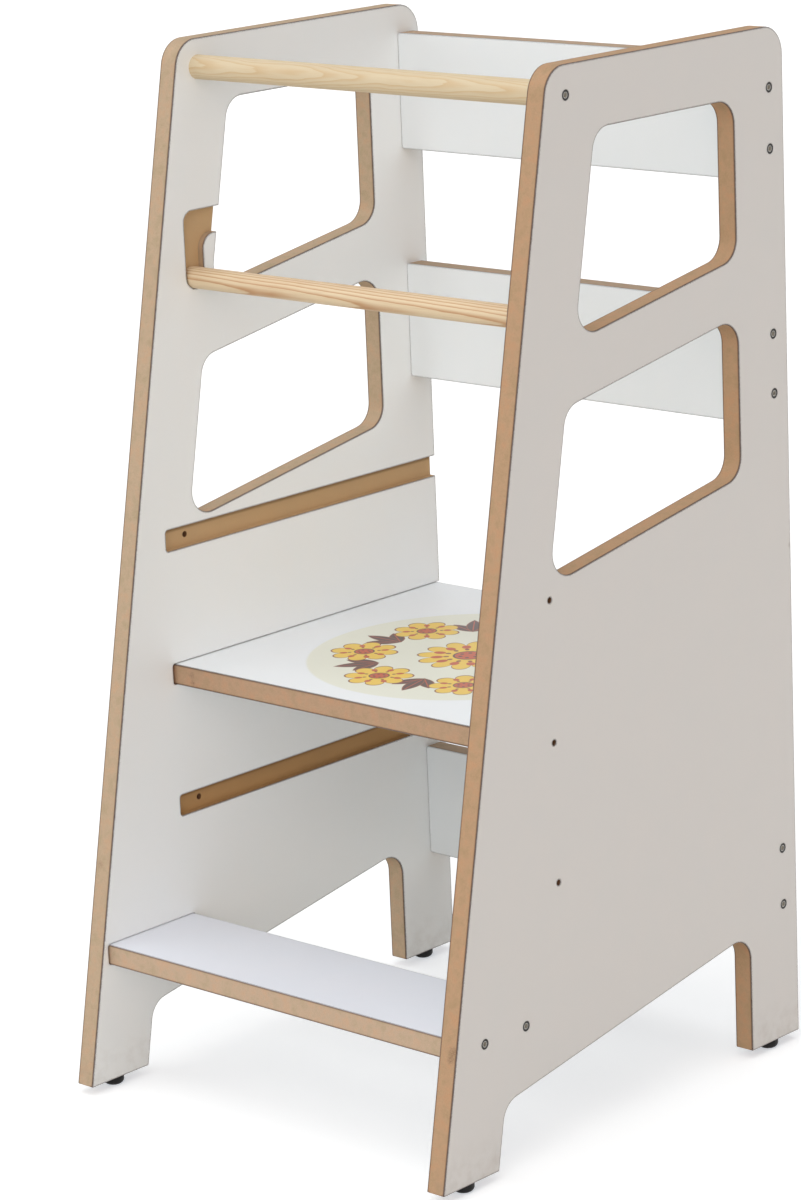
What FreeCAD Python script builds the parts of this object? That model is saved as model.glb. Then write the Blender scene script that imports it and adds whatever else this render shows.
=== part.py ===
# Toddler kitchen helper stool: two board sides with windows and grooves, three back rails,
# a front step, a platform that slides into one of three grooves, a fixed front dowel and a
# lift-out safety bar. Millimetres; +Z up, the child climbs in from -Y, and the origin is on
# the floor under the middle of the stool.
import FreeCAD, Part
import math
import os

import Sketcher

SIZES = {
    # boards
    "board": 18.0,                  # thickness of every board
    "arris": 0.8,                   # rounding of the board edges
    "inner_width": 383.0,           # between the two sides
    "panel_depth": 467.0,
    "panel_height": 874.0,
    "front_setback": 169.0,         # how far the front edge leans back over its height
    "slant_angle": 9.3,             # rise of the arch and of the window sills, degrees
    "top_corner": 24.0,             # outline radii
    "leg_corner": 1.0,
    "arch_corner": 20.0,
    "window_corner": 20.0,
    # borders of the side panel, square to its edges
    "rear_border": 66.0,            # also the depth of the rear leg
    "front_leg": 66.3,
    "upper_border": 64.8,
    "lower_border": 61.4,
    "arch_height": 107.0,           # at the rear leg
    "window_drop": 54.0,            # top edge down to the upper window
    "upper_window": 130.0,          # window heights along the rear edge
    "window_band": 49.0,
    "lower_window": 134.0,
    # platform and its grooves
    "groove_start": 123.0,          # closed front end, from the front corner of the foot
    "lowest_groove": 211.2,         # groove floor above the foot of the panel
    "next_groove_height": 117.2,    # from one groove floor up to the next
    "groove_depth": 6.5,
    "groove_play": 0.9,             # groove height over the board's thickness
    "groove_corner": 3.0,
    "platform_seat": 0.2,           # board above the groove floor
    "platform_gap": 3.6,            # board behind the closed end of the groove
    "platform_inset": 2.4,          # board in front of the rear edge
    "platform_play": 0.5,           # board end to groove bottom
    "lock_hole": 5.0,               # diameter of the locking holes
    "lock_setback": 29.0,           # from the closed end of the groove
    # back rails
    "rail_height": 102.5,
    "rail_inset": 9.5,              # from the rear edge
    "rail_corner": 2.5,
    "top_rail_drop": 24.0,
    "middle_rail_top": 645.0,
    "lower_rail_top": 196.6,
    # front step
    "step_setback": 30.0,           # from the front corner of the foot
    "step_depth": 102.5,
    "step_top": 120.8,
    "housing_depth": 9.0,           # the step ends sit this deep in the sides
    "housing_gap": 2.0,             # before and behind the step
    "housing_play": 0.5,            # above and below the step
    "housing_corner": 3.5,
    # dowel and safety bar
    "dowel_diameter": 20.5,
    "dowel_drop": 24.0,             # axis below the top edge
    "dowel_setback": 26.0,          # axis behind the front edge, level
    "bar_diameter": 18.5,
    "bar_edge": 1.5,                # rounding of the bar's ends
    "bar_seat": 0.3,                # bar above the bottom of its slot
    "bar_play": 0.5,                # bar end to slot bottom
    "slot_width": 21.6,
    "slot_depth": 6.5,
    "slot_bottom": 664.5,
    "slot_top": 731.0,
    "slot_corner": 9.5,
    "lip_top": 709.0,
    "lip_width": 17.0,              # at its top, between the slot and the window
    "lip_corner": 13.0,
    # screws
    "screw_edge": 26.0,             # from the edges of the rail or step
    "screw_length": 50.0,
    "screw_sink": 0.3,              # head below the face of the side
    "head_diameter": 8.6,
    "head_rim": 1.0,
    "head_height": 3.2,
    "neck_diameter": 6.2,
    "neck_length": 14.0,            # head included
    "thread_diameter": 6.0,
    "core_diameter": 4.4,
    "thread_pitch": 2.8,
    "thread_width": 1.7,            # of a ridge at its root
    "screw_tip": 4.0,
    "socket_flats": 4.0,            # across the flats of the hexagon
    "socket_depth": 2.6,
    "screw_play": 0.2,              # bores over the screw's diameters
    "bore_reserve": 2.0,            # bore past the tip of the screw
    # glides and their nails
    "glide_diameter": 18.0,
    "glide_height": 7.5,
    "glide_dome": 4.5,
    "nail_diameter": 2.0,
    "nail_head": 5.0,
    "nail_head_height": 1.0,
    "nail_length": 20.0,
    "nail_recess": 1.2,             # nail head above the floor
    "nail_play": 0.1,
}

GROOVES = 3
PLATFORM_GROOVE = 1                 # counted from 0, the lowest
SIDES = {"left": -1, "right": 1}

# places that several pieces share, as expressions in a side panel's own frame: y from the
# front corner of the foot and z from the foot's underside
LEAN = "atan(Sizes.front_setback / Sizes.panel_height)"
RAIL_TOPS = {
    "top_rail": "Sizes.panel_height - Sizes.top_rail_drop",
    "middle_rail": "Sizes.middle_rail_top",
    "lower_rail": "Sizes.lower_rail_top",
}
RAIL_MIDDLE = "Sizes.panel_depth - Sizes.rail_inset - Sizes.board / 2"
DOWEL_Z = "Sizes.panel_height - Sizes.dowel_drop"
DOWEL_Y = f"({DOWEL_Z}) * Sizes.front_setback / Sizes.panel_height + Sizes.dowel_setback"


def windowEdge(height):
    """Front edge of the upper window at a height."""
    return (f"Sizes.upper_border / cos({LEAN})"
            f" + ({height}) * Sizes.front_setback / Sizes.panel_height")


SLOT_BACK = f"{windowEdge('Sizes.lip_top')} - Sizes.lip_width"
SLOT_FRONT = f"{SLOT_BACK} - Sizes.slot_width"
FEET = {
    "front": f"Sizes.front_leg / cos({LEAN}) / 2",
    "rear": "Sizes.panel_depth - Sizes.rear_border / 2",
}

doc = FreeCAD.newDocument("kitchen_helper")


# ---------------------------------------------------------------- sheet, bodies and features
def fillSheet():
    """One row for each size: its name and its plain number."""
    filled = doc.addObject("Spreadsheet::Sheet", "Sizes")
    for row, (name, number) in enumerate(SIZES.items(), start=1):
        filled.set(f"A{row}", name)
        filled.set(f"B{row}", str(number))
        filled.setAlias(f"B{row}", name)
    doc.recompute()
    return filled


sheet = fillSheet()


def size(name):
    return float(sheet.get(name))


def bind(thing, **expressions):
    """Ties properties to the sheet; a double underscore stands for the point in a path."""
    for name, expression in expressions.items():
        thing.setExpression(name.replace("__", "."), expression)


def newBody(label, x="0", y="0", z="0"):
    body = doc.addObject("PartDesign::Body", label)
    body.Label = label
    bind(body, Placement__Base__x=x, Placement__Base__y=y, Placement__Base__z=z)
    return body


def originOf(body, role):
    return next(item for item in body.Origin.OriginFeatures if item.Role == role)


class Drawing:
    """A sketch on one of a body's origin planes, with its measures tied to the sheet."""

    def __init__(self, body, name, plane, offset=None):
        self.sketch = body.newObject("Sketcher::SketchObject", f"{body.Name}_{name}")
        self.sketch.AttachmentSupport = [(originOf(body, plane), "")]
        self.sketch.MapMode = "FlatFace"
        if offset:
            bind(self.sketch, AttachmentOffset__Base__z=offset)

    def add(self, shape, construction=False):
        return self.sketch.addGeometry(shape, construction)

    def rule(self, *words):
        return self.sketch.addConstraint(Sketcher.Constraint(*words))

    def rules(self, kind, *edges):
        for edge in edges:
            self.rule(kind, edge)

    def measure(self, expression, *words):
        self.sketch.setExpression(f"Constraints[{self.rule(*words)}]", expression)

    def place(self, geometry, point, x, y):
        """Level and upright distance of a point from the origin; "0" puts it on the axis."""
        for axis, kind, distance in ((-2, "DistanceX", x), (-1, "DistanceY", y)):
            if distance == "0":
                self.rule("PointOnObject", geometry, point, axis)
            else:
                self.measure(distance, kind, -1, 1, geometry, point, 1.0)

    def polygon(self, points):
        """Closed loop of straight edges; edge i runs from point i to the next."""
        ends = [FreeCAD.Vector(x, y, 0) for x, y in points]
        edges = [self.add(Part.LineSegment(a, b)) for a, b in zip(ends, ends[1:] + ends[:1])]
        for edge, following in zip(edges, edges[1:] + edges[:1]):
            self.rule("Coincident", edge, 2, following, 1)
        return edges

    def outline(self, places):
        """Closed loop through (x, y) pairs of expressions."""
        turn = 2 * math.pi / len(places)
        start = [(20 + 9 * math.cos(i * turn), 20 + 9 * math.sin(i * turn)) for i in range(len(places))]
        for edge, (x, y) in zip(self.polygon(start), places):
            self.place(edge, 1, x, y)

    def rectangle(self, low, high):
        """Rectangle between two corners, each an (x, y) pair of expressions."""
        bottom, right, top, left = self.polygon([(1, 1), (9, 1), (9, 9), (1, 9)])
        self.rules("Horizontal", bottom, top)
        self.rules("Vertical", right, left)
        self.place(bottom, 1, *low)
        self.place(top, 1, *high)

    def circles(self, centres, diameter):
        """Circles of one diameter at (x, y) pairs of expressions."""
        rings = []
        for number, (x, y) in enumerate(centres, start=1):
            middle = FreeCAD.Vector(10 * number, 10 * number, 0)
            rings.append(self.add(Part.Circle(middle, FreeCAD.Vector(0, 0, 1), 2.0)))
            self.place(rings[-1], 3, x, y)
        self.measure(diameter, "Diameter", rings[0], 4.0)
        for ring in rings[1:]:
            self.rule("Equal", rings[0], ring)

    def arc(self, x, y, radius, first, last):
        """Arc about (x, y), anticlockwise between two angles in degrees."""
        ring = Part.Circle(FreeCAD.Vector(x, y, 0), FreeCAD.Vector(0, 0, 1), radius)
        return self.add(Part.ArcOfCircle(ring, math.radians(first), math.radians(last)))

    def line(self, start, end):
        return self.add(Part.LineSegment(FreeCAD.Vector(*start, 0), FreeCAD.Vector(*end, 0)))

    def start(self, edge):
        point = self.sketch.Geometry[edge].StartPoint
        return point.x, point.y


def pad(body, drawing, length, reversed=False):
    feature = body.newObject("PartDesign::Pad", f"{body.Name}_pad")
    feature.Profile = drawing.sketch
    feature.Reversed = reversed
    bind(feature, Length=length)
    doc.recompute()
    return feature


def cut(body, drawing, name, depth, reversed):
    """Pocket that has to take something away."""
    before = body.Tip.Shape.Volume
    feature = body.newObject("PartDesign::Pocket", f"{body.Name}_{name}")
    feature.Profile = drawing.sketch
    feature.Reversed = reversed
    bind(feature, Length=depth)
    doc.recompute()
    if feature.Shape.Volume > before - 1.0:
        raise ValueError(f"{feature.Name} cuts nothing")
    return feature


def revolve(body, drawing, name, axis):
    feature = body.newObject("PartDesign::Revolution", f"{body.Name}_{name}")
    feature.Profile = drawing.sketch
    feature.ReferenceAxis = (drawing.sketch, [axis])
    feature.Angle = 360.0
    doc.recompute()
    return feature


def repeat(body, features, role, length, count):
    """Features repeated along an origin axis, over a length from the first to the last."""
    pattern = body.newObject("PartDesign::LinearPattern", f"{body.Name}_row")
    pattern.Originals = features
    pattern.Direction = (originOf(body, role), [""])
    bind(pattern, Length=length, Occurrences=count)
    body.Tip = pattern
    doc.recompute()
    return pattern


def roundEdges(body, name, radius, test):
    """Fillet on the edges of the body's tip that pass the test."""
    base = body.Tip
    names = [f"Edge{i}" for i, edge in enumerate(base.Shape.Edges, start=1) if test(edge)]
    feature = body.newObject("PartDesign::Fillet", f"{body.Name}_{name}")
    feature.Base = (base, names)
    bind(feature, Radius=radius)
    doc.recompute()
    return feature


def atCorners(axis, corners):
    """Test for straight edges along an axis through given places of the other two."""
    first, second = [i for i in range(3) if i != axis]

    def test(edge):
        if not isinstance(edge.Curve, Part.Line) or abs(edge.Curve.Direction[axis]) < 0.999:
            return False
        place = edge.Vertexes[0].Point
        return any(math.hypot(place[first] - u, place[second] - v) < 0.01 for u, v in corners)
    return test


def inPlane(axis, *levels):
    """Test for edges that lie wholly in one of the planes across an axis."""
    def test(edge):
        box = edge.BoundBox
        low = (box.XMin, box.YMin, box.ZMin)[axis]
        high = (box.XMax, box.YMax, box.ZMax)[axis]
        return any(abs(low - level) < 0.01 and abs(high - level) < 0.01 for level in levels)
    return test


# ---------------------------------------------------------------- side panels
def drawSide(body):
    """Outline with a leaning front edge and a slanted arch, and the two windows."""
    depth, height = size("panel_depth"), size("panel_height")
    lean = size("front_setback") / height
    rise = math.tan(math.radians(size("slant_angle")))
    back = depth - size("rear_border")

    def frontEnd(border, rear_height):
        """Where a slanted edge that starts at the rear border meets the front border."""
        level = border * math.hypot(1, lean)
        high = (rear_height - rise * (back - level)) / (1 - rise * lean)
        return level + lean * high, high

    drawing = Drawing(body, "outline", "YZ_Plane")
    arch = size("arch_height")
    outline = drawing.polygon([
        (0, 0), (size("front_leg") * math.hypot(1, lean), 0), frontEnd(size("front_leg"), arch),
        (back, arch), (back, 0), (depth, 0), (depth, height), (size("front_setback"), height)])
    foot, leg, arch_top, rear_leg, rear_foot, rear, top, front = outline
    drawing.rule("Coincident", foot, 1, -1, 1)
    drawing.rules("Horizontal", foot, rear_foot, top)
    drawing.rules("Vertical", rear_leg, rear)
    drawing.rule("PointOnObject", rear_foot, 1, -1)
    drawing.rule("Parallel", leg, front)
    drawing.measure("Sizes.front_leg", "Distance", foot, 2, front, 60.0)
    drawing.measure("Sizes.slant_angle * 1 deg", "Angle", -1, 1, arch_top, 1, 0.1)
    drawing.measure("Sizes.arch_height", "DistanceY", rear_leg, 2, rear_leg, 1, 100.0)
    drawing.measure("Sizes.rear_border", "DistanceX", rear_foot, 1, rear_foot, 2, 60.0)
    drawing.measure("Sizes.panel_depth", "DistanceX", -1, 1, rear, 1, depth)
    drawing.measure("Sizes.panel_height", "DistanceY", -1, 1, rear, 2, height)
    drawing.measure("Sizes.front_setback", "DistanceX", -1, 1, front, 1, 160.0)

    upper_top = height - size("window_drop")
    upper_sill = upper_top - size("upper_window")
    lower_top = upper_sill - size("window_band")
    lower_sill = lower_top - size("lower_window")
    level = size("upper_border") * math.hypot(1, lean)
    upper = drawing.polygon([
        (level + lean * upper_top, upper_top), (back, upper_top), (back, upper_sill),
        frontEnd(size("upper_border"), upper_sill)])
    lower = drawing.polygon([
        frontEnd(size("lower_border"), lower_top), (back, lower_top), (back, lower_sill),
        frontEnd(size("lower_border"), lower_sill)])
    drawing.rule("Horizontal", upper[0])
    drawing.measure("Sizes.slant_angle * 1 deg", "Angle", -1, 1, lower[0], 1, 0.1)
    for (_, upright, sill, leaning), border in ((upper, "upper_border"), (lower, "lower_border")):
        drawing.rule("Vertical", upright)
        drawing.measure("Sizes.rear_border", "DistanceX", upright, 1, rear, 1, 60.0)
        drawing.measure("Sizes.slant_angle * 1 deg", "Angle", -1, 1, sill, 2, 0.1)
        drawing.rule("Parallel", leaning, front)
        drawing.measure(f"Sizes.{border}", "Distance", leaning, 1, front, 60.0)
    drawing.measure("Sizes.window_drop", "DistanceY", upper[1], 1, top, 1, 50.0)
    drawing.measure("Sizes.upper_window", "DistanceY", upper[1], 2, upper[1], 1, 130.0)
    drawing.measure("Sizes.window_band", "DistanceY", lower[1], 1, upper[1], 2, 50.0)
    drawing.measure("Sizes.lower_window", "DistanceY", lower[1], 2, lower[1], 1, 130.0)
    return drawing, outline, upper + lower


def cutGrooves(body, side):
    """Level grooves, closed in front and open at the rear, each with a locking hole."""
    groove = Drawing(body, "groove_outline", "YZ_Plane")
    top = "Sizes.lowest_groove + Sizes.board + Sizes.groove_play"
    groove.rectangle(("Sizes.groove_start", "Sizes.lowest_groove"),
                     ("Sizes.panel_depth + Sizes.board", top))
    groove_cut = cut(body, groove, "groove", "Sizes.groove_depth", side > 0)
    hole = Drawing(body, "lock_outline", "YZ_Plane")
    middle = "Sizes.lowest_groove + (Sizes.board + Sizes.groove_play) / 2"
    hole.circles([("Sizes.groove_start + Sizes.lock_setback", middle)], "Sizes.lock_hole")
    hole_cut = cut(body, hole, "lock_hole", "Sizes.board", side > 0)
    repeat(body, [groove_cut, hole_cut], "Z_Axis",
           f"Sizes.next_groove_height * {GROOVES - 1}", f"{GROOVES}")
    floors = [size("lowest_groove") + i * size("next_groove_height") for i in range(GROOVES)]
    tops = [floor + size("board") + size("groove_play") for floor in floors]
    corners = [(size("groove_start"), height) for height in floors + tops]
    roundEdges(body, "groove_corners", "Sizes.groove_corner", atCorners(0, corners))


def cutBarSlot(body, side):
    """J-shaped slot: down behind a lip from an opening in the upper window's front edge."""
    drawing = Drawing(body, "slot_outline", "YZ_Plane")
    lean = size("front_setback") / size("panel_height")
    half = size("slot_width") / 2
    back = size("upper_border") * math.hypot(1, lean) + size("lip_top") * lean - size("lip_width")
    front = back - size("slot_width")
    mouth = back + 3 * size("lip_corner")
    top, lip, bend = size("slot_top"), size("lip_top"), size("slot_bottom") + half
    corner, curve = size("slot_corner"), size("lip_corner")

    roof = drawing.line((mouth, top), (front + corner, top))
    roof_arc = drawing.arc(front + corner, top - corner, corner, 90, 180)
    outer = drawing.line((front, top - corner), (front, bend))
    bend_arc = drawing.arc(front + half, bend, half, 180, 360)
    inner = drawing.line((back, bend), (back, lip - curve))
    lip_arc = drawing.arc(back + curve, lip - curve, curve, 90, 180)
    sill = drawing.line((back + curve, lip), (mouth, lip))
    close = drawing.line((mouth, lip), (mouth, top))
    joins = ((roof, 2, roof_arc, 1), (roof_arc, 2, outer, 1), (outer, 2, bend_arc, 1),
             (bend_arc, 2, inner, 1), (inner, 2, lip_arc, 2), (lip_arc, 1, sill, 1))
    for join in joins:
        drawing.rule("Tangent", *join)
    drawing.rule("Coincident", sill, 2, close, 1)
    drawing.rule("Coincident", close, 2, roof, 1)
    drawing.rules("Horizontal", roof, sill)
    drawing.rules("Vertical", outer, inner, close)
    drawing.measure("Sizes.slot_corner", "Radius", roof_arc, corner)
    drawing.measure("Sizes.lip_corner", "Radius", lip_arc, curve)
    drawing.measure(SLOT_FRONT, "DistanceX", -1, 1, outer, 1, front)
    drawing.measure(SLOT_BACK, "DistanceX", -1, 1, inner, 1, back)
    drawing.measure(f"{windowEdge('Sizes.slot_top')} + Sizes.lip_width / 2",
                    "DistanceX", -1, 1, close, 1, mouth)
    drawing.measure("Sizes.slot_top", "DistanceY", -1, 1, roof, 1, top)
    drawing.measure("Sizes.lip_top", "DistanceY", -1, 1, sill, 1, lip)
    drawing.measure("Sizes.slot_bottom + Sizes.slot_width / 2",
                    "DistanceY", -1, 1, bend_arc, 3, bend)
    cut(body, drawing, "slot", "Sizes.slot_depth", side > 0)


def cutHousing(body, side):
    """Blind housing for the end of the front step."""
    drawing = Drawing(body, "housing_outline", "YZ_Plane")
    drawing.rectangle(
        ("Sizes.step_setback - Sizes.housing_gap",
         "Sizes.step_top - Sizes.board - Sizes.housing_play"),
        ("Sizes.step_setback + Sizes.step_depth + Sizes.housing_gap",
         "Sizes.step_top + Sizes.housing_play"))
    cut(body, drawing, "housing", "Sizes.housing_depth", side > 0)
    front = size("step_setback") - size("housing_gap")
    rear = size("step_setback") + size("step_depth") + size("housing_gap")
    low = size("step_top") - size("board") - size("housing_play")
    high = size("step_top") + size("housing_play")
    corners = [(y, z) for y in (front, rear) for z in (low, high)]
    roundEdges(body, "housing_corners", "Sizes.housing_corner", atCorners(0, corners))


def screwPlaces():
    """Where screws enter a side: two for each rail and for the step, and one for the dowel."""
    places = {}
    for rail, top in RAIL_TOPS.items():
        places[rail] = [(RAIL_MIDDLE, f"{top} - Sizes.screw_edge"),
                        (RAIL_MIDDLE, f"{top} - Sizes.rail_height + Sizes.screw_edge")]
    middle = "Sizes.step_top - Sizes.board / 2"
    places["front_step"] = [
        ("Sizes.step_setback + Sizes.screw_edge", middle),
        ("Sizes.step_setback + Sizes.step_depth - Sizes.screw_edge", middle)]
    places["top_dowel"] = [(DOWEL_Y, DOWEL_Z)]
    return places


def drillSide(body, side):
    """Screw holes with seats for the heads, and nail holes under the feet."""
    centres = [place for places in screwPlaces().values() for place in places]
    holes = Drawing(body, "screw_holes", "YZ_Plane")
    holes.circles(centres, "Sizes.neck_diameter + Sizes.screw_play")
    cut(body, holes, "screw_hole", "Sizes.board", side > 0)
    seats = Drawing(body, "head_seats", "YZ_Plane", offset=f"Sizes.board * {side}")
    seats.circles(centres, "Sizes.head_diameter + Sizes.screw_play")
    cut(body, seats, "head_seat", "Sizes.head_height + Sizes.screw_sink", side < 0)
    nails = Drawing(body, "nail_holes", "XY_Plane")
    nails.circles([(f"Sizes.board / 2 * {side}", y) for y in FEET.values()],
                  "Sizes.nail_diameter + Sizes.nail_play")
    cut(body, nails, "nail_hole", "Sizes.nail_length", True)


def makeSide(label, side):
    body = newBody(label, f"Sizes.inner_width / 2 * {side}", "-Sizes.panel_depth / 2",
                   "Sizes.glide_height")
    drawing, outline, windows = drawSide(body)
    pad(body, drawing, "Sizes.board", reversed=side < 0)
    feet, arch, tops = outline[:2] + outline[4:6], outline[2:4], outline[6:]
    for name, edges in (("leg_corner", feet), ("arch_corner", arch), ("top_corner", tops),
                        ("window_corner", windows)):
        corners = [drawing.start(edge) for edge in edges]
        roundEdges(body, name, f"Sizes.{name}", atCorners(0, corners))
    roundEdges(body, "arris", "Sizes.arris", inPlane(0, 0.0, size("board") * side))
    cutGrooves(body, side)
    cutBarSlot(body, side)
    cutHousing(body, side)
    drillSide(body, side)
    return body


# ---------------------------------------------------------------- boards between the sides
def boreEnds(body, centres, length, reach):
    """Bores for the screws in both ends of a piece that runs along X."""
    for name, offset, inward in (("left_bore", None, True), ("right_bore", length, False)):
        drawing = Drawing(body, f"{name}_outline", "YZ_Plane", offset)
        drawing.circles(centres, "Sizes.thread_diameter + Sizes.screw_play")
        cut(body, drawing, name, reach, inward)


BUTT_REACH = "Sizes.screw_sink + Sizes.screw_length + Sizes.bore_reserve - Sizes.board"


def makeRail(label, top):
    """Upright board butted between the sides."""
    body = newBody(label, "-Sizes.inner_width / 2",
                   f"{RAIL_MIDDLE} - Sizes.board / 2 - Sizes.panel_depth / 2",
                   f"Sizes.glide_height + {top} - Sizes.rail_height")
    drawing = Drawing(body, "outline", "XZ_Plane")
    drawing.rectangle(("0", "0"), ("Sizes.inner_width", "Sizes.rail_height"))
    pad(body, drawing, "Sizes.board", reversed=True)
    corners = [(x, z) for x in (0.0, size("inner_width")) for z in (0.0, size("rail_height"))]
    roundEdges(body, "corners", "Sizes.rail_corner", atCorners(1, corners))
    roundEdges(body, "arris", "Sizes.arris", inPlane(1, 0.0, size("board")))
    boreEnds(body, [("Sizes.board / 2", "Sizes.screw_edge"),
                    ("Sizes.board / 2", "Sizes.rail_height - Sizes.screw_edge")],
             "Sizes.inner_width", BUTT_REACH)
    return body


def makeFlatBoard(label, length, depth, x, y, z):
    """Level board with eased edges."""
    body = newBody(label, x, y, z)
    drawing = Drawing(body, "outline", "XY_Plane")
    drawing.rectangle(("0", "0"), (length, depth))
    pad(body, drawing, "Sizes.board")
    roundEdges(body, "arris", "Sizes.arris", inPlane(2, 0.0, size("board")))
    return body


def makeStep():
    length = "Sizes.inner_width + 2 * Sizes.housing_depth"
    body = makeFlatBoard("front_step", length, "Sizes.step_depth",
                         "-Sizes.inner_width / 2 - Sizes.housing_depth",
                         "Sizes.step_setback - Sizes.panel_depth / 2",
                         "Sizes.glide_height + Sizes.step_top - Sizes.board")
    boreEnds(body, [("Sizes.screw_edge", "Sizes.board / 2"),
                    ("Sizes.step_depth - Sizes.screw_edge", "Sizes.board / 2")],
             length, f"{BUTT_REACH} + Sizes.housing_depth")
    return body


def makePlatform():
    reach = "(Sizes.groove_depth - Sizes.platform_play)"
    front = "Sizes.groove_start + Sizes.platform_gap"
    return makeFlatBoard(
        "platform", f"Sizes.inner_width + 2 * {reach}",
        f"Sizes.panel_depth - Sizes.platform_inset - ({front})",
        f"-Sizes.inner_width / 2 - {reach}", f"{front} - Sizes.panel_depth / 2",
        "Sizes.glide_height + Sizes.lowest_groove + Sizes.platform_seat"
        f" + Sizes.next_groove_height * {PLATFORM_GROOVE}")


# ---------------------------------------------------------------- dowel and safety bar
def makeRound(label, diameter, length, y, z):
    """Round stick along X with its axis at (y, z) of the side panel's frame."""
    body = newBody(label, f"-({length}) / 2", f"{y} - Sizes.panel_depth / 2",
                   f"Sizes.glide_height + {z}")
    drawing = Drawing(body, "outline", "YZ_Plane")
    drawing.circles([("0", "0")], diameter)
    pad(body, drawing, length)
    return body


def makeDowel():
    body = makeRound("top_dowel", "Sizes.dowel_diameter", "Sizes.inner_width", DOWEL_Y, DOWEL_Z)
    boreEnds(body, [("0", "0")], "Sizes.inner_width", BUTT_REACH)
    return body


def makeBar():
    """Lies in the bottoms of the two slots and lifts out over their lips."""
    body = makeRound("safety_bar", "Sizes.bar_diameter",
                     "Sizes.inner_width + 2 * (Sizes.slot_depth - Sizes.bar_play)",
                     f"{SLOT_BACK} - Sizes.slot_width / 2",
                     "Sizes.slot_bottom + Sizes.bar_seat + Sizes.bar_diameter / 2")
    length = size("inner_width") + 2 * (size("slot_depth") - size("bar_play"))
    roundEdges(body, "ends", "Sizes.bar_edge", inPlane(0, 0.0, length))
    return body


# ---------------------------------------------------------------- fasteners and glides
def makeScrew():
    """Screw along +X with the top of its head at the origin; thread as a row of ridges."""
    body = newBody("screw")
    shaft = Drawing(body, "shaft", "XY_Plane")
    shaft.outline([
        ("0", "0"), ("0", "Sizes.head_diameter / 2"), ("Sizes.head_rim", "Sizes.head_diameter / 2"),
        ("Sizes.head_height", "Sizes.neck_diameter / 2"),
        ("Sizes.neck_length", "Sizes.neck_diameter / 2"),
        ("Sizes.neck_length", "Sizes.core_diameter / 2"),
        ("Sizes.screw_length - Sizes.screw_tip", "Sizes.core_diameter / 2"),
        ("Sizes.screw_length", "0")])
    revolve(body, shaft, "turned", "H_Axis")
    ridge = Drawing(body, "ridge", "XY_Plane")
    middle = "Sizes.neck_length + Sizes.thread_pitch / 2"
    inside = "Sizes.core_diameter / 2.2"       # the ridges start a little inside the core
    ridge.outline([
        (f"{middle} - Sizes.thread_width / 2", inside),
        (f"{middle} + Sizes.thread_width / 2", inside),
        (middle, "Sizes.thread_diameter / 2")])
    turned = revolve(body, ridge, "ridge_turned", "H_Axis")
    count = ("floor((Sizes.screw_length - Sizes.neck_length - Sizes.screw_tip)"
             " / Sizes.thread_pitch)")
    repeat(body, [turned], "X_Axis", f"Sizes.thread_pitch * ({count} - 1)", count)
    socket = Drawing(body, "socket", "YZ_Plane")
    radius = size("socket_flats") / math.sqrt(3)
    turns = [math.radians(90 + 60 * i) for i in range(6)]
    sides = socket.polygon([(radius * math.cos(a), radius * math.sin(a)) for a in turns])
    ring = socket.add(Part.Circle(FreeCAD.Vector(), FreeCAD.Vector(0, 0, 1), radius), True)
    socket.rule("Coincident", ring, 3, -1, 1)
    for number, edge in enumerate(sides):
        socket.rule("PointOnObject", edge, 1, ring)
        if number:
            socket.rule("Equal", sides[0], edge)
    socket.rule("PointOnObject", sides[0], 1, -2)
    socket.measure("Sizes.socket_flats / cos(30)", "Diameter", ring, 2 * radius)
    cut(body, socket, "socket_cut", "Sizes.socket_depth", True)
    return body


def makeNail():
    """Nail along +Z with the underside of its head at the origin."""
    body = newBody("nail")
    drawing = Drawing(body, "profile", "XZ_Plane")
    drawing.outline([
        ("0", "0"), ("Sizes.nail_head / 2", "0"), ("Sizes.nail_head / 2", "Sizes.nail_head_height"),
        ("Sizes.nail_diameter / 2", "Sizes.nail_head_height"),
        ("Sizes.nail_diameter / 2", "Sizes.nail_length - Sizes.nail_diameter"),
        ("0", "Sizes.nail_length")])
    revolve(body, drawing, "turned", "V_Axis")
    return body


def group(label, piece, places):
    """Copies of one piece at (x, y, z, turn about Z) places, as separate solids."""
    copies = []
    for number, (x, y, z, turn) in enumerate(places, start=1):
        copy = doc.addObject("App::Link", f"{label}_{number}")
        copy.LinkedObject = piece
        copy.Placement.Rotation = FreeCAD.Rotation(FreeCAD.Vector(0, 0, 1), turn)
        bind(copy, Placement__Base__x=x, Placement__Base__y=y, Placement__Base__z=z)
        copies.append(copy)
    compound = doc.addObject("Part::Compound", label)
    compound.Label = label
    compound.Links = copies
    return compound


def makeScrews():
    """The screws of each joint and side are one group, their heads sunk in the side."""
    screw = makeScrew()
    groups = []
    for joint, places in screwPlaces().items():
        for name, side in SIDES.items():
            x = f"(Sizes.inner_width / 2 + Sizes.board - Sizes.screw_sink) * {side}"
            turn = 180 if side > 0 else 0
            spots = [(x, f"{y} - Sizes.panel_depth / 2", f"Sizes.glide_height + {z}", turn)
                     for y, z in places]
            groups.append(group(f"{joint}_screws_{name}", screw, spots))
    return groups


def footPlaces():
    """Middle of each foot: its name with x and y."""
    return {f"{end}_{name}": (f"(Sizes.inner_width + Sizes.board) / 2 * {side}",
                              f"{y} - Sizes.panel_depth / 2")
            for end, y in FEET.items() for name, side in SIDES.items()}


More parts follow.
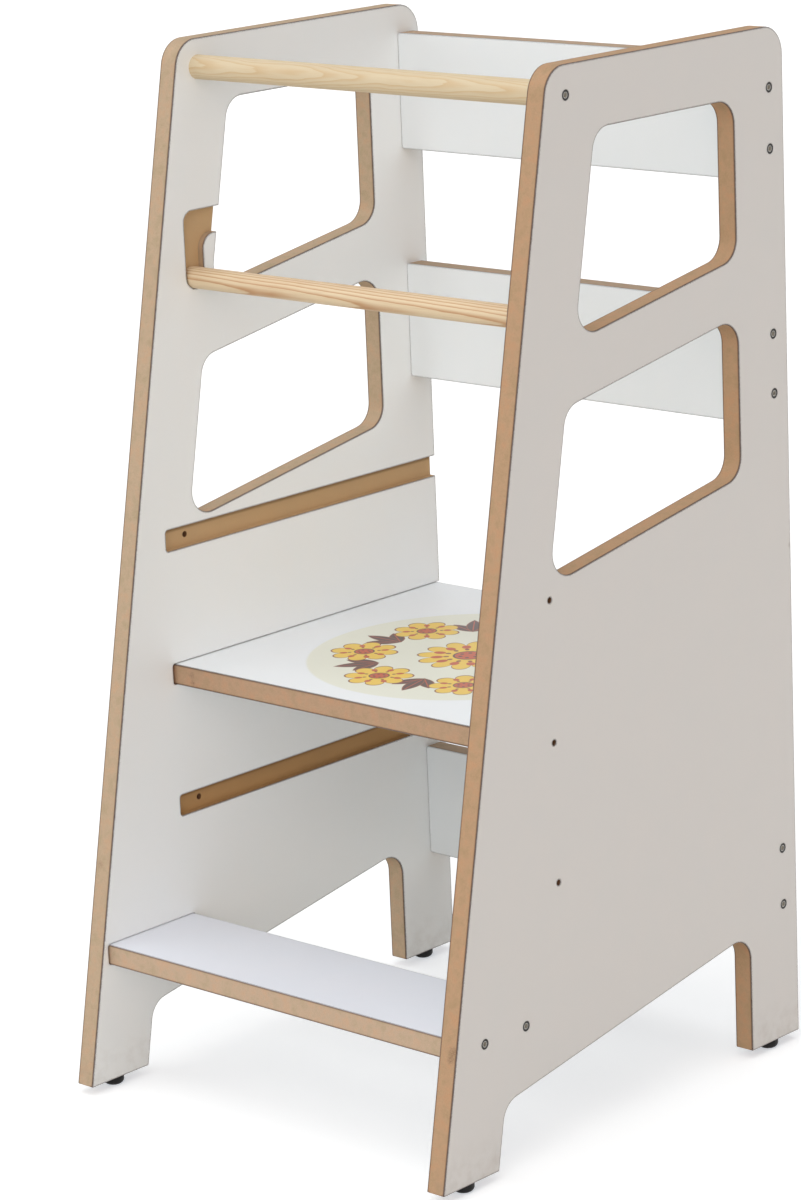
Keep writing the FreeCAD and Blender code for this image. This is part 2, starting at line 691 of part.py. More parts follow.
def makeGlide(label, x, y):
    """Round glide with a domed edge under a foot, recessed for the head of its nail."""
    body = newBody(label, x, y)
    disc = Drawing(body, "disc", "XY_Plane")
    disc.circles([("0", "0")], "Sizes.glide_diameter")
    pad(body, disc, "Sizes.glide_height")
    roundEdges(body, "dome", "Sizes.glide_dome", inPlane(2, 0.0))
    for name, diameter, depth in (
            ("nail_hole", "Sizes.nail_diameter", "Sizes.glide_height"),
            ("head_recess", "Sizes.nail_head", "Sizes.nail_recess + Sizes.nail_head_height")):
        ring = Drawing(body, f"{name}_outline", "XY_Plane")
        ring.circles([("0", "0")], f"{diameter} + Sizes.nail_play")
        cut(body, ring, name, depth, True)
    return body


# ---------------------------------------------------------------- the whole stool
nodes = [makeSide(f"{name}_panel", side) for name, side in SIDES.items()]
nodes += [makeRail(label, top) for label, top in RAIL_TOPS.items()]
nodes += [makeStep(), makePlatform(), makeDowel(), makeBar()]
nodes += makeScrews()
nodes += [makeGlide(f"{foot}_glide", x, y) for foot, (x, y) in footPlaces().items()]
nodes.append(group("glide_nails", makeNail(),
                   [(x, y, "Sizes.nail_recess", 0) for x, y in footPlaces().values()]))
doc.recompute()

for thing in doc.Objects:
    if "Invalid" in thing.State or "Error" in thing.State:
        raise RuntimeError(f"{thing.Name} is {thing.State}")
for node in nodes:
    if node.Shape.isNull() or not node.Shape.isValid():
        raise RuntimeError(f"{node.Label} has no valid shape")

os.makedirs("parts", exist_ok=True)
for node in nodes:
    node.Shape.exportStep(f"parts/{node.Label}.step")
    box = node.Shape.BoundBox
    print(f"{node.Label:28s} {len(node.Shape.Solids)} solid  {node.Shape.Volume / 1000:9.2f} cm3"
          f"  x {box.XMin:7.1f} {box.XMax:7.1f}  y {box.YMin:7.1f} {box.YMax:7.1f}"
          f"  z {box.ZMin:6.1f} {box.ZMax:6.1f}")
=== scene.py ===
import math
import bpy
import numpy as np
from mathutils import Euler, Matrix, Vector


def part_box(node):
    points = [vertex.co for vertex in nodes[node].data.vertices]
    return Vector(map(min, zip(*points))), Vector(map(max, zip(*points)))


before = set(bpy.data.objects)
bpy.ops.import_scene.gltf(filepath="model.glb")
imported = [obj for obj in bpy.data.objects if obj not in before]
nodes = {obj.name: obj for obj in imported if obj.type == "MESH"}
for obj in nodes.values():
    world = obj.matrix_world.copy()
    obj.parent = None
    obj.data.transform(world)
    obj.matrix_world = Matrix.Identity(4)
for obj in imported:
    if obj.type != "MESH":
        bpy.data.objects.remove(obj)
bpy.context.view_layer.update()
scene = bpy.context.scene
print("frame loaded with", len(nodes), "solids")


def linear(colour):  # a colour picked on a screen, 0-255, as the linear light the shader works in
    part = np.array(colour, float) / 255
    return tuple(np.where(part <= 0.04045, part / 12.92, ((part + 0.055) / 1.055) ** 2.4)) + (1.0,)


class Wire:  # a node's outlet that can stand in a formula
    def __init__(self, paint, socket):
        self.paint, self.socket = paint, socket

    def maths(self, operation, *terms):
        return self.paint.node("ShaderNodeMath", {"operation": operation}, dict(enumerate(terms)))

    def __add__(self, other):
        return self.maths("ADD", self, other)

    def __radd__(self, other):
        return self.maths("ADD", other, self)

    def __sub__(self, other):
        return self.maths("SUBTRACT", self, other)

    def __rsub__(self, other):
        return self.maths("SUBTRACT", other, self)

    def __mul__(self, other):
        return self.maths("MULTIPLY", self, other)

    def __rmul__(self, other):
        return self.maths("MULTIPLY", other, self)

    def __truediv__(self, other):
        return self.maths("DIVIDE", self, other)

    def __rtruediv__(self, other):
        return self.maths("DIVIDE", other, self)

    def __pow__(self, other):
        return self.maths("POWER", self, other)

    def __abs__(self):
        return self.maths("ABSOLUTE", self)

    def root(self):
        return self.maths("SQRT", self)

    def cos(self):
        return self.maths("COSINE", self)

    def sin(self):
        return self.maths("SINE", self)

    def wrap(self, low, high):
        return self.maths("WRAP", self, high, low)

    def most(self, other):
        return self.maths("MAXIMUM", self, other)

    def ramp(self, low, high):  # 0 below low, 1 above high, straight between
        sockets = {0: self, 1: low, 2: high, 3: 0.0, 4: 1.0}
        return self.paint.node("ShaderNodeMapRange", {"clamp": True}, sockets)

    def under(self, edge, soft):  # 1 where this is less than edge, with a soft step
        return ((edge - self) / soft + 0.5).ramp(0.0, 1.0)


class Paint:  # one node tree, with a short way to add to it
    def __init__(self, name, tree=None):
        if tree is None:
            self.material = bpy.data.materials.new(name)
            self.material.use_nodes = True
            tree = self.material.node_tree
        tree.nodes.clear()
        self.tree = tree

    def node(self, kind, settings=None, sockets=None, outlet=0):
        made = self.tree.nodes.new(kind)
        for key, value in (settings or {}).items():
            setattr(made, key, value)
        for key, value in (sockets or {}).items():
            if isinstance(value, Wire):
                self.tree.links.new(value.socket, made.inputs[key])
            else:
                made.inputs[key].default_value = value
        return Wire(self, made.outputs[outlet]) if made.outputs else made

    def millimetres(self):  # the point on the stool, in millimetres, as a vector and as x, y, z
        place = self.node("ShaderNodeTexCoord", outlet="Object")
        point = self.node("ShaderNodeVectorMath", {"operation": "SCALE"}, {0: place, "Scale": 1000.0})
        return point, *[self.node("ShaderNodeSeparateXYZ", {}, {0: point}, i) for i in range(3)]

    def stretched(self, point, scale, shift=(0.0, 0.0, 0.0)):
        sockets = {0: point, 1: scale, 2: shift}
        return self.node("ShaderNodeVectorMath", {"operation": "MULTIPLY_ADD"}, sockets)

    def noise(self, point, scale, detail=2.0, rough=0.5):
        sockets = {"Vector": point, "Scale": scale, "Detail": detail, "Roughness": rough}
        return self.node("ShaderNodeTexNoise", {}, sockets)

    def mix(self, first, second, share, blend="MIX"):
        settings = {"data_type": "RGBA", "blend_type": blend}
        return self.node("ShaderNodeMix", settings, {0: share, 6: first, 7: second}, 2)

    def bump(self, height, distance, strength=1.0, normal=None):
        sockets = {"Height": height, "Distance": distance, "Strength": strength}
        return self.node("ShaderNodeBump", {}, sockets | ({"Normal": normal} if normal else {}))

    def surface(self, **sockets):  # keyword names are the shader's sockets with _ for a space
        named = {key.replace("_", " "): value for key, value in sockets.items()}
        shader = self.node("ShaderNodeBsdfPrincipled", {}, named)
        self.node("ShaderNodeOutputMaterial", {}, {0: shader})
        return self.material


# laminated board: white melamine on both faces, bare fibreboard on every cut; all lengths in mm
board = {
    # melamine and fibreboard, a little different on each board, and how dark its arris is; the left side's
    # white is lighter and the right side's darker and warmer, painted light on the left side's inner face and
    # painted shade on the right side's outer face
    "whites": {"right": (233, 231, 229), "left": (248, 250, 250), "rails": (233, 237, 239),
               "step": (233, 235, 242), "platform": (239, 242, 244)},
    "cores": {"right": (185, 151, 118), "left": (190, 166, 139), "rails": (176, 153, 129),
              "step": (197, 172, 147), "platform": (184, 152, 123)},
    "easing": {"left": 1.0, "rails": 0.45, "step": 0.7, "platform": 0.9},
    # shares that the colour is multiplied by: of the white in patches, and of the core in flecks and patches
    "cool": (0.985, 0.995, 1.0),
    "fleck": (0.74, 0.70, 0.66), "warm": (1.07, 0.98, 0.93), "olive": (0.90, 0.93, 0.88),
    # the same for painted shade: on the cut walls behind a side's front edge (windows and arch too), in a
    # line under a groove's lip, and in the lowest groove
    "inside": (0.95, 0.95, 0.93), "lipShade": (0.55, 0.50, 0.44), "lowShade": (0.78, 0.66, 0.50),
    "skin": (112, 84, 66), "bare": (66, 46, 37),  # denser layer below the paper, and bare on the arris
    "routed": (210, 176, 132), "hole": (120, 82, 50),  # inside the grooves and slots, and painted shade in the lock holes
    "grime": (150, 132, 112), "grimeTop": (26.0, 44.0),  # near the floor: middle height and width of its fade
    # noises: scale per mm, detail, roughness
    "noises": {"fibre": (1.0, 3.0, 0.65), "cloud": (0.035, 3.0), "mottle": (0.11, 3.0, 0.6),
               "chip": (0.55, 2.0), "grime": (0.09, 4.0, 0.6), "knock": (0.7, 3.0, 0.7),
               "skin": (1.6, 2.0), "patch": (0.02, 3.0)},
    "fibreAlong": 1.1, "fibreAcross": 3.2,  # scale of the fibres in the board's plane and through it
    "paper": 0.5, "skinDepth": 1.9, "arris": 2.2,  # depths below the face, and width round the arris
    "frontLean": (0.19336, -234.95),  # front edge of the sides: y = lean x z + start
    "grooves": (228.15, 117.2, 10.6),  # middle z of the lowest, rise to the next, half height
    "grooveFront": -118.0, "lowestTop": 280.0,  # y where they begin, and z above which the painted shade of the lowest groove ends
    "lipLine": (4.4, 6.6),  # height over a groove's middle where the painted shade under its lip sets in
    "innerCuts": 201.0,  # x that no cut in an inner face reaches
    "platformGroove": (345.35, 12.0),  # middle z, half height with its lips
    "housing": (-152.25, 119.3, 56.5, 12.8),  # middle y and z of the step's end, half sizes with its lips
    "holes": (-81.5, 228.15, 117.2, 2.65),  # y, z of the lowest, rise to the next, radius with its lip
    "screwClear": 6.6,  # distance from a screw's axis that stays clean
    "rough": 0.36, "coreRough": 0.85, "relief": 0.00022,  # relief in m
}
screwed = [n for n in nodes if n.endswith("_screws_right")]  # y and z are the same on the left


def sideCore(paint, xyz, across, depth, tilt, core, grain):
    # what is cut into a side: windows, then the grooves and slots, then the lock holes in the grooves
    lean, start = board["frontLean"]
    # painted shade: every cut wall behind the front edge, the windows' and the arch's too, is multiplied by
    # the inside share
    behind = (xyz[1] - xyz[2] * lean - start).ramp(4.0, 9.0)
    core = paint.mix(core, board["inside"] + (1.0,), behind, "MULTIPLY")
    first, rise, reach = board["grooves"]
    front = board["grooveFront"]
    level = (xyz[2] - first).wrap(-rise / 2, rise / 2)
    slotted = abs(level).under(reach, 0.4) * abs(xyz[2] - first - rise).under(rise * 1.4, 1.0)
    slotted = slotted * xyz[1].ramp(front, front + 1.0)
    routed = tilt.ramp(0.6, 0.9).most(slotted * across.under(board["innerCuts"], 1.0)) * depth.ramp(1.0, 2.0)
    core = paint.mix(core, linear(board["routed"]), routed * grain)
    low, lip = xyz[2].under(board["lowestTop"], 20.0), level.ramp(*board["lipLine"])
    # painted shade: the routed floor of the lowest groove is multiplied darker
    core = paint.mix(core, board["lowShade"] + (1.0,), routed * low, "MULTIPLY")
    # painted shade: a dark band on the groove floor just under the upper lip
    core = paint.mix(core, board["lipShade"] + (1.0,), routed * slotted * lip, "MULTIPLY")
    # painted shade: the walls of the lock holes take a dark brown
    y, z, rise, radius = board["holes"]
    aside, above = xyz[1] - y, (xyz[2] - z).wrap(-rise / 2, rise / 2)
    hole = (aside * aside + above * above).root().under(radius, 0.3)
    hole = hole * abs(xyz[2] - z - rise).under(rise + radius, 0.3) * depth.ramp(0.6, 1.6)
    return paint.mix(core, linear(board["hole"]), hole)


def sideArris(xyz, across, depth, arris):
    # a side has no dark arris round the ends of the platform and the step, deep in a cut, or round a screw
    middle, reach = board["platformGroove"]
    front = board["grooveFront"]
    groove = abs(xyz[2] - middle).under(reach, 1.0) * xyz[1].ramp(front, front + 4.0)
    y, z, halfDepth, halfHeight = board["housing"]
    housing = abs(xyz[1] - y).under(halfDepth, 1.0) * abs(xyz[2] - z).under(halfHeight, 1.0)
    arris = arris * (1 - groove.most(housing) * across.under(board["innerCuts"], 1.0))
    arris = arris * depth.under(3.0, 0.8)
    clear = board["screwClear"]
    for node in screwed:
        arris = arris * headDistance(node, xyz).ramp(clear, clear + 0.4)
    return arris


def boardColour(paint, axis, middle, half, cores):
    # depth is the distance to the nearer face: half the thickness less the distance from the middle plane
    point, *xyz = paint.millimetres()
    across = abs(xyz[0]) if axis == 0 else xyz[axis]
    depth = half - abs(across - middle)
    noises = board["noises"]
    scales = [board["fibreAlong"]] * 3
    scales[axis] = board["fibreAcross"]
    fleck = paint.noise(paint.stretched(point, scales), *noises["fibre"])
    cloud, mottle, chip = (paint.noise(point, *noises[kind]) for kind in ("cloud", "mottle", "chip"))
    # sided: the left side takes the left colours and the right side the right ones; in the whites the left's
    # is lighter as painted light and the right's darker and warmer as painted shade
    sided = xyz[0].ramp(-1.0, 1.0)
    core, white = (paint.mix(linear(board[kind][cores[0]]), linear(board[kind][cores[-1]]), sided)
                   for kind in ("cores", "whites"))
    shares = {"fleck": (fleck - 0.38).ramp(0.0, 0.36) * 0.85,
              "warm": mottle.ramp(0.5, 0.68), "olive": mottle.ramp(0.5, 0.32)}
    for kind, share in shares.items():
        core = paint.mix(core, board[kind] + (1.0,), share, "MULTIPLY")
    normal = paint.node("ShaderNodeTexCoord", outlet="Normal")
    # tilt is 1 on a face, 0 on a cut edge and between them on the rounded arris
    tilt = abs(paint.node("ShaderNodeSeparateXYZ", {}, {0: normal}, axis))
    if axis == 0:
        core = sideCore(paint, xyz, across, depth, tilt, core, 0.45 + 0.5 * fleck + 0.5 * cloud)
    eased = paint.node("ShaderNodeBevel", {"samples": 4}, {"Radius": board["arris"] / 1000})
    straight = paint.node("ShaderNodeNewGeometry", outlet="Normal")
    sockets = {0: eased, 1: straight}
    turned = paint.node("ShaderNodeVectorMath", {"operation": "DOT_PRODUCT"}, sockets, "Value")
    rounded = tilt.ramp(0.1, 0.3) * tilt.ramp(0.985, 0.93)
    arris = turned.ramp(0.992, 0.95).most(rounded) * (0.7 + 0.5 * chip)
    if axis == 0:
        arris = sideArris(xyz, across, depth, arris)
    fade = board["skinDepth"] * 0.7
    core = paint.mix(core, linear(board["skin"]), depth.under(fade, fade) * (0.7 + 0.3 * fleck))
    paper = depth.under(board["paper"] * (0.55 + 0.9 * chip), 0.16)
    white = paint.mix(white, board["cool"] + (1.0,), cloud.ramp(0.3, 0.75), "MULTIPLY")
    grime = paint.noise(point, *noises["grime"]).ramp(0.42, 0.72) * xyz[2].under(*board["grimeTop"]) * 0.45
    white = paint.mix(white, linear(board["grime"]), grime * 0.5)
    core = paint.mix(core, linear(board["grime"]), grime)
    bare = arris * (0.95 * board["easing"][cores[0]])
    colour = paint.mix(paint.mix(core, white, paper), linear(board["bare"]), bare)
    return point, xyz, paper, colour, fleck, eased


def boardFinish(name, axis, middle, half, cores, marks=(), extra=None):
    paint = Paint(name)
    point, xyz, paper, colour, fleck, eased = boardColour(paint, axis, middle, half, cores)
    noises = board["noises"]
    if extra:
        colour = extra(paint, xyz, paper, colour)
    for x, y, z, reach, tone in marks:  # small knocks and smudges, each a noisy spot about a point
        sockets = {0: point, 1: (x, y, z)}
        away = paint.node("ShaderNodeVectorMath", {"operation": "DISTANCE"}, sockets, "Value")
        spot = away.under(reach, reach * 1.1) * paint.noise(point, *noises["knock"]).ramp(0.36, 0.62)
        colour = paint.mix(colour, linear(tone), spot * 0.8)
    skin, patch = (paint.noise(point, *noises[kind]) for kind in ("skin", "patch"))
    rough = paper * (board["rough"] + 0.1 * patch + 0.04 * skin) + (1 - paper) * board["coreRough"]
    height = paper * (0.4 + 0.12 * skin) + (1 - paper) * (0.2 * fleck)
    normal = paint.bump(height, board["relief"], 0.6, eased)
    return paint.surface(Base_Color=colour, Roughness=rough, Normal=normal)


# printed disc on the platform: a wreath of flowers and leaves on cream; lengths in mm
disc = {
    "centre": (0.0, 54.9), "radius": 138.5, "cream": (231, 232, 217), "print": 0.97,
    "height": (350.0, 352.0),  # the top of the platform, below which nothing is printed
    "flowers": 7, "ring": 93.0, "flower": 29.0, "petals": 8, "middleFlower": 44.0, "middlePetals": 12,
    # shares of a flower's radius: petals from and by, two rings of spots and their size, the heart;
    # then how many seeds, their ring and size
    "petal": (0.62, 0.38), "spots": ((0.62, 0.12, "rust"), (0.44, 0.06, "line")),
    "heart": ((0.31, "brown"), (0.27, "rust")), "seeds": (6, 0.17, 0.04),
    "sprig": 78.0, "leafWidth": 6.0,
    "leaves": ((0.62, 15.0), (-0.62, 15.0), (0.0, 19.0)),  # turn, half length
    "edge": 0.6, "discEdge": 2.4,  # softness of what is printed, and of the disc's own rim
    "yellow": (236, 200, 78), "rust": (190, 84, 46), "brown": (82, 58, 54), "line": (138, 76, 48),
}


def flower(paint, a, b, radius, petals, colour):
    # petal edge: radius x (from + by sqrt |cos(half the petal count x angle)|)
    soft = disc["edge"]
    start, swing = disc["petal"]
    away = (a * a + b * b).root()
    angle = b.maths("ARCTAN2", b, a)
    edge = radius * (start + swing * abs((angle * (petals / 2)).cos()).root())
    colour = paint.mix(colour, linear(disc["line"]), away.under(edge + 1.1, soft))
    colour = paint.mix(colour, linear(disc["yellow"]), away.under(edge - 0.3, soft))
    turned = (angle + math.pi / petals).wrap(-math.pi / petals, math.pi / petals)  # repeats the spots
    for ring, spot, tone in disc["spots"]:
        along, side = away * turned.cos() - radius * ring, away * turned.sin()
        oval = (along * along + side * side * 1.8).root()
        colour = paint.mix(colour, linear(disc[tone]), oval.under(radius * spot, soft))
    for reach, tone in disc["heart"]:
        colour = paint.mix(colour, linear(disc[tone]), away.under(radius * reach, soft))
    count, ring, size = disc["seeds"]
    seed = angle.wrap(-math.pi / count, math.pi / count)
    along, side = away * seed.cos() - radius * ring, away * seed.sin()
    grain = (along * along + side * side).root()
    return paint.mix(colour, linear(disc["brown"]), grain.under(radius * size, 0.5))


def leaf(paint, a, b, turn, length, colour):
    # a lens from the sprig's foot: |side| below width x (1 - (way / length) squared), way from its middle
    soft = disc["edge"]
    way = a * math.cos(turn) + b * math.sin(turn) - length
    side = abs(b * math.cos(turn) - a * math.sin(turn))
    edge = disc["leafWidth"] * (1 - (way / length) * (way / length))
    colour = paint.mix(colour, linear(disc["line"]), side.under(edge + 0.6, soft))
    colour = paint.mix(colour, linear(disc["brown"]), side.under(edge - 0.5, soft))
    vein = side.under(0.45, 0.5) * abs(way).under(length * 0.8, 1.0)
    return paint.mix(colour, linear(disc["rust"]), vein)


def printedDisc(paint, xyz, paper, colour):
    u, v = xyz[0] - disc["centre"][0], xyz[1] - disc["centre"][1]
    away, angle = (u * u + v * v).root(), v.maths("ARCTAN2", v, u)
    half = math.pi / disc["flowers"]
    drawn = linear(disc["cream"])
    between = (angle + half).wrap(-half, half)
    a, b = away * between.cos() - disc["sprig"], away * between.sin()
    for turn, length in disc["leaves"]:
        drawn = leaf(paint, a, b, turn, length, drawn)
    onFlower = angle.wrap(-half, half)
    a, b = away * onFlower.cos() - disc["ring"], away * onFlower.sin()
    drawn = flower(paint, a, b, disc["flower"], disc["petals"], drawn)
    drawn = flower(paint, u, v, disc["middleFlower"], disc["middlePetals"], drawn)
    share = away.under(disc["radius"], disc["discEdge"]) * paper * xyz[2].ramp(*disc["height"])
    return paint.mix(colour, drawn, share * disc["print"])


# pine rods: growth rings round a pith line beside the rod
pine = {
    # pith is the line's y and z at the middle in mm and tilt its rise along x; the rings' spacing, wave and
    # shift are in mm, and force is the late wood's share
    "top": {"early": (211, 194, 162), "late": (194, 160, 112), "force": 0.55, "rough": 0.5,
            "pith": (-4.0, 846.0), "tilt": (-0.030, 0.016), "spacing": 1.8, "wave": 1.9, "shift": 1.2},
    "bar": {"early": (221, 200, 166), "late": (178, 124, 74), "force": 0.78, "rough": 0.46,
            "pith": (-32.0, 700.0), "tilt": (-0.016, -0.0115), "spacing": 2.6, "wave": 0.5, "shift": 0.4},
    # noises: scale per mm along the rod and across it
    "slow": (0.012, 0.05, 0.05), "fine": (0.05, 0.6, 0.6), "fibre": (0.035, 2.4, 2.4),
    "tint": (0.01, 0.04, 0.04), "relief": 0.00012,  # relief in m
}


def pineFinish(name, rod):
    # ring = distance to the tilted pith line plus slow waves; the late wood darkens slowly and ends sharply
    paint = Paint(name)
    point, x, y, z = paint.millimetres()
    slow = paint.noise(paint.stretched(point, pine["slow"], (3.0, 0.0, 0.0)), 1.0, 2.0) - 0.5
    fine = paint.noise(paint.stretched(point, pine["fine"]), 1.0, 2.0) - 0.5
    side = y - (x * rod["tilt"][0] + rod["pith"][0])
    rise = z - (x * rod["tilt"][1] + rod["pith"][1])
    away = (side * side + rise * rise).root() + slow * (rod["wave"] * 4) + fine * 0.4 + rod["shift"]
    phase = away.maths("FRACT", away / rod["spacing"])
    late = phase.ramp(0.3, 0.88) * phase.under(0.95, 0.08)
    fibre = paint.noise(paint.stretched(point, pine["fibre"]), 1.0, 3.0, 0.6)
    colour = paint.mix(linear(rod["early"]), linear(rod["late"]), late ** 1.6 * rod["force"])
    colour = paint.mix(colour, linear(rod["late"]), (fibre - 0.5).ramp(0.0, 0.35) * 0.4)
    tint = paint.noise(paint.stretched(point, pine["tint"]), 1.0, 2.0)
    colour = paint.mix(colour, linear(rod["late"]), tint.ramp(0.5, 0.8) * 0.25)
    normal = paint.bump(fibre * 0.6 + late * 0.4, pine["relief"], 0.5)
    return paint.surface(Base_Color=colour, Roughness=rod["rough"] + 0.12 * fibre, Normal=normal)


# steel of the screws and nails
metal = {
    # the rim colour is painted shade, the dark gap round a screw head
    "zinc": (196, 194, 190), "dull": (130, 128, 125), "hollow": (186, 182, 172), "rimShade": (22, 19, 17),
    "nail": (150, 150, 150), "relief": 0.00005,  # relief in m
    "head": 4.3, "rimStart": (2.3, 2.8),  # radius of a screw's head, and where the painted shade of its rim sets in, mm
    "hollowBelow": 208.75,  # mm from the stool's middle plane: nearer to it the socket begins
}


def headDistance(node, xyz):  # mm from the axis of the nearer head of a pair, folded onto one by its middle
    low, high = (np.array(corner) * 1000 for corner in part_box(node))
    middle, half = (low + high) / 2, np.maximum((high - low) / 2 - metal["head"], 0.0)
    aside, above = (abs(xyz[i] - float(middle[i])) - float(half[i]) for i in (1, 2))
    return (aside * aside + above * above).root()


def zincFinish(name, node):
    # plated steel: the hollow of the head below its face, and a dark ring round it, painted shade of the gap
    # round the head
    paint = Paint(name)
    point, *xyz = paint.millimetres()
    away = headDistance(node, xyz)
    scratch = paint.noise(paint.stretched(point, (1.0, 3.5, 3.5)), 1.0, 4.0, 0.7)
    blotch = paint.noise(point, 0.45, 2.0)
    sunk = abs(xyz[0]).under(metal["hollowBelow"], 0.2)
    # painted shade: the outer ring of the head is near black for the gap it sits in
    rimShade = away.ramp(*metal["rimStart"])
    colour = paint.mix(linear(metal["zinc"]), linear(metal["dull"]), blotch.ramp(0.4, 0.75) * 0.6)
    colour = paint.mix(colour, linear(metal["hollow"]), sunk)
    colour = paint.mix(colour, linear(metal["rimShade"]), rimShade)
    clean, rough = 1 - sunk.most(rimShade) * 0.8, 0.3 + 0.25 * scratch
    normal = paint.bump(scratch, metal["relief"], 0.4)
    return paint.surface(Base_Color=colour, Metallic=clean, Roughness=rough, Normal=normal)


def nailFinish(name):  # drawn wire, with fine lines along the shank
    paint = Paint(name)
    point = paint.millimetres()[0]
    drawn = paint.noise(paint.stretched(point, (4.0, 4.0, 0.6)), 1.0, 3.0)
    colour = paint.mix(linear(metal["nail"]), linear(metal["dull"]), drawn.ramp(0.4, 0.7))
    return paint.surface(Base_Color=colour, Metallic=1.0, Roughness=0.28 + 0.2 * drawn)


# glides: moulded black plastic with a fine spark texture, dusty and scuffed where it meets the floor
plastic = {
    "black": (17, 16, 16), "dust": (96, 90, 82), "rough": 0.44, "specular": 0.25, "relief": 0.00006,
    "scuff": (1.6, 2.2),  # middle height and width of its fade, mm
}


def plasticFinish(name):
    paint = Paint(name)
    point, *xyz = paint.millimetres()
    spark = paint.noise(point, 3.2, 2.0)
    worn = xyz[2].under(*plastic["scuff"]) * paint.noise(point, 0.6, 4.0, 0.7).ramp(0.4, 0.68)
    colour = paint.mix(linear(plastic["black"]), linear(plastic["dust"]), worn * 0.7 + spark * 0.02)
    rough = plastic["rough"] + 0.3 * worn + 0.08 * spark
    normal = paint.bump(spark, plastic["relief"], 0.5)
    return paint.surface(Base_Color=colour, Roughness=rough, Normal=normal,
                         Specular_IOR_Level=plastic["specular"])


# small marks seen on the boards: x, y, z in mm, reach in mm, colour
wear = {
    "panels": [(205.0, -211.0, 122.0, 3.6, (120, 90, 68)), (204.0, -212.4, 115.5, 3.2, (126, 96, 74)),
               (206.5, 233.0, 463.0, 2.6, (104, 84, 70)), (207.0, 233.2, 442.0, 3.0, (112, 92, 76)),
               (-204.0, -196.0, 196.0, 3.0, (150, 122, 98)), (-206.0, 12.0, 9.0, 6.0, (120, 98, 78))],
    "platform": [(-172.3, -107.0, 347.0, 2.6, (138, 110, 88)),
                 (-171.8, -107.0, 340.5, 2.2, (132, 104, 82))],
}


def thickness(name, axis):  # middle and half of a board across its faces, in mm
    low, high = (np.array(corner) * 1000 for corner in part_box(name))
    return float(abs(low[axis] + high[axis]) / 2), float(high[axis] - low[axis]) / 2


# each finish with the pieces it goes on; a board's axis is the one across its faces
finishes = {
    "panelBoard": (["left_panel", "right_panel"], lambda n: boardFinish(
        n, 0, *thickness("right_panel", 0), ("left", "right"), wear["panels"])),
    "railBoard": (["top_rail", "middle_rail", "lower_rail"], lambda n: boardFinish(
        n, 1, *thickness("top_rail", 1), ("rails",))),
    "stepBoard": (["front_step"], lambda n: boardFinish(n, 2, *thickness("front_step", 2), ("step",))),
    "platformBoard": (["platform"], lambda n: boardFinish(
        n, 2, *thickness("platform", 2), ("platform",), wear["platform"], printedDisc)),
    "topPine": (["top_dowel"], lambda n: pineFinish(n, pine["top"])),
    "barPine": (["safety_bar"], lambda n: pineFinish(n, pine["bar"])),
    "nailSteel": (["glide_nails"], nailFinish),
    "blackGlide": ([n for n in nodes if n.endswith("_glide")], plasticFinish),
}
for held in ("top_rail", "middle_rail", "lower_rail", "front_step", "top_dowel"):
    pair = [held + "_screws_left", held + "_screws_right"]
    finishes[held + "Zinc"] = (pair, lambda n, node=pair[1]: zincFinish(n, node))
for name, (members, make) in finishes.items():
    made = make(name)
    for member in members:
        for holder in nodes[member].material_slots:
            holder.material = made
    print("finish", name, "on", len(members), "solids,", len(made.node_tree.nodes), "nodes")


# studio: a white sky, a pale floor and four wide soft lamps
studio = {
    "sky": 0.26, "skyColour": (255, 249, 245),
    "lamps": {  # level, direction to the lamp, colour, width in degrees
        "topLamp": (0.43, (0.0, 0.0, 1.0), (246, 250, 255), 60.0),
        "frontLamp": (0.31, (0.3, -0.9, 0.4), (250, 253, 255), 60.0),
        "leftLamp": (0.36, (-0.75, -0.6, 0.3), (246, 252, 255), 60.0),
        "rightLamp": (0.17, (0.65, -0.65, 0.4), (255, 232, 216), 60.0),
    },
    "floorColour": (221, 217, 210),
    "floorLift": (0.46, 0.49, 0.53),  # light that the floor gives only to the eye
    "floorReach": 12, "floorLines": 25,  # m to each side, and lines of its grid
}


def seenDirectly(paint):  # 1 for what the eye, a mirror or a glass sees, 0 for what lights the stool
    path = paint.node("ShaderNodeLightPath", outlet="Is Camera Ray")
    outlets = path.socket.node.outputs
    return path.most(Wire(paint, outlets["Is Glossy Ray"])).most(Wire(paint, outlets["Is Transmission Ray"]))


def lamp(name, level, direction, colour, spread):  # level 1 shows a white square on at full white
    data = bpy.data.lights.new(name, "SUN")
    data.energy, data.angle, data.color = level * math.pi, math.radians(spread), linear(colour)[:3]
    made = bpy.data.objects.new(name, data)
    made.rotation_euler = Vector(direction).to_track_quat("Z", "Y").to_euler()
    scene.collection.objects.link(made)


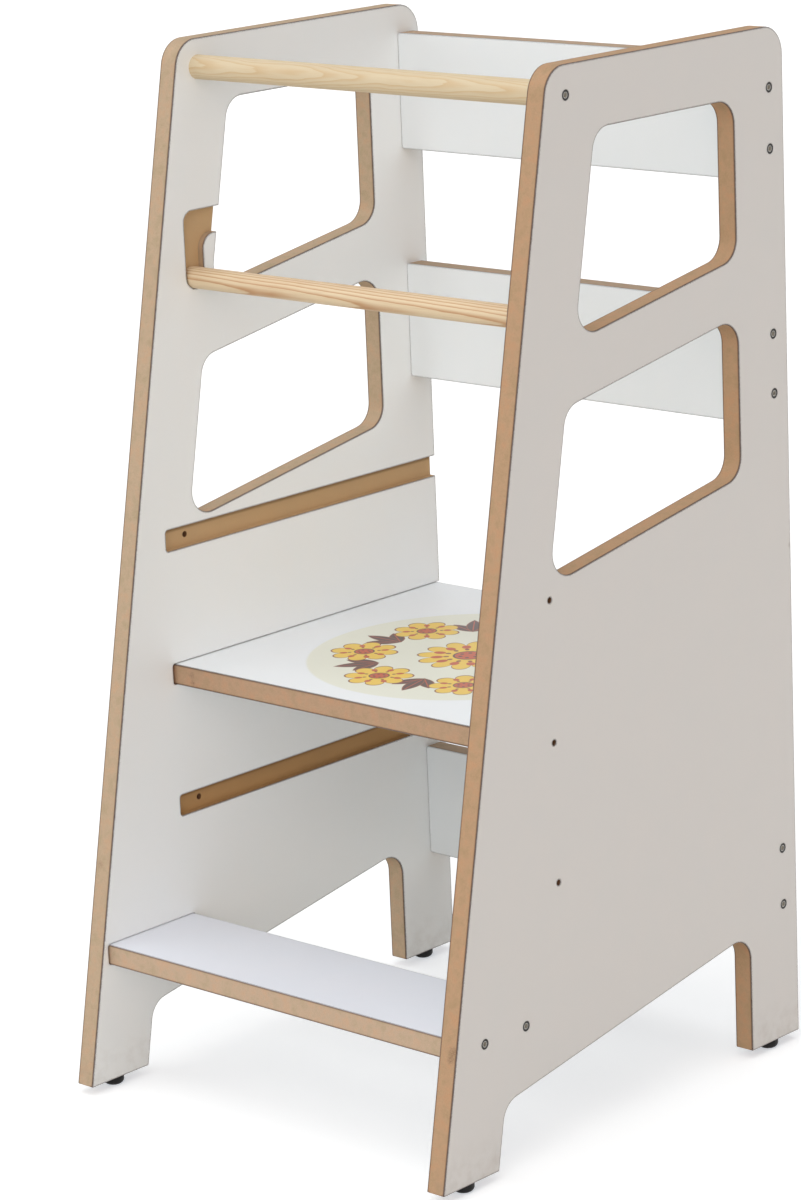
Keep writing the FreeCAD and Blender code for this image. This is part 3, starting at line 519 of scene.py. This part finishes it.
world = bpy.data.worlds.new("studioSky")
world.use_nodes = True
scene.world = world
sky = Paint("studioSky", world.node_tree)
seen = seenDirectly(sky)
light = {"Color": linear(studio["skyColour"]), "Strength": studio["sky"]}
lit = sky.node("ShaderNodeBackground", {}, light)
shown = sky.node("ShaderNodeBackground", {}, {"Color": (1, 1, 1, 1), "Strength": 1.0})
sky.node("ShaderNodeOutputWorld", {}, {0: sky.node("ShaderNodeMixShader", {}, {0: seen, 1: lit, 2: shown})})
for name, settings in studio["lamps"].items():
    lamp(name, *settings)

lines = studio["floorLines"]  # the floor: a flat grid of height 0
reach = np.linspace(-studio["floorReach"], studio["floorReach"], lines)
across, along = np.meshgrid(reach, reach, indexing="ij")
corners = np.stack([across, along, across * 0], -1).reshape(-1, 3)
index = np.arange(lines * lines).reshape(lines, lines)
quads = np.stack([index[:-1, :-1], index[1:, :-1], index[1:, 1:], index[:-1, 1:]], -1).reshape(-1, 4)
floorMesh = bpy.data.meshes.new("floor")
floorMesh.from_pydata(corners.tolist(), [], quads.tolist())
floor = bpy.data.objects.new("floor", floorMesh)
scene.collection.objects.link(floor)
paint = Paint("paleFloor")
base = paint.node("ShaderNodeBsdfDiffuse", {}, {"Color": linear(studio["floorColour"])})
lift = {"Color": studio["floorLift"] + (1.0,), "Strength": seenDirectly(paint)}
glow = paint.node("ShaderNodeEmission", {}, lift)
top = paint.node("ShaderNodeAddShader", {}, {0: base, 1: glow})
below = paint.node("ShaderNodeNewGeometry", outlet="Backfacing")
clear = paint.node("ShaderNodeBsdfTransparent")  # seen through from underneath
shown = paint.node("ShaderNodeMixShader", {}, {0: below, 1: top, 2: clear})
paint.node("ShaderNodeOutputMaterial", {}, {0: shown})
floorMesh.materials.append(paint.material)
print("studio lit")

# camera: place in m, and the photograph's azimuth, elevation and slight roll in degrees
view = {"place": (2.27524, -2.49439, 1.28824), "azimuth": 42.69, "elevation": 14.49, "roll": -2.38,
        "lens": 124.64, "sensor": 36.0}
camera = bpy.data.objects.new("camera", bpy.data.cameras.new("camera"))
camera.data.lens, camera.data.sensor_width = view["lens"], view["sensor"]
turn = Euler((math.radians(90 - view["elevation"]), 0, math.radians(view["azimuth"]))).to_matrix()
camera.rotation_euler = (turn @ Matrix.Rotation(math.radians(view["roll"]), 3, "Z")).to_euler()
camera.location = view["place"]
scene.collection.objects.link(camera)
scene.camera = camera
scene.view_settings.view_transform = "Standard"
print("camera placed")
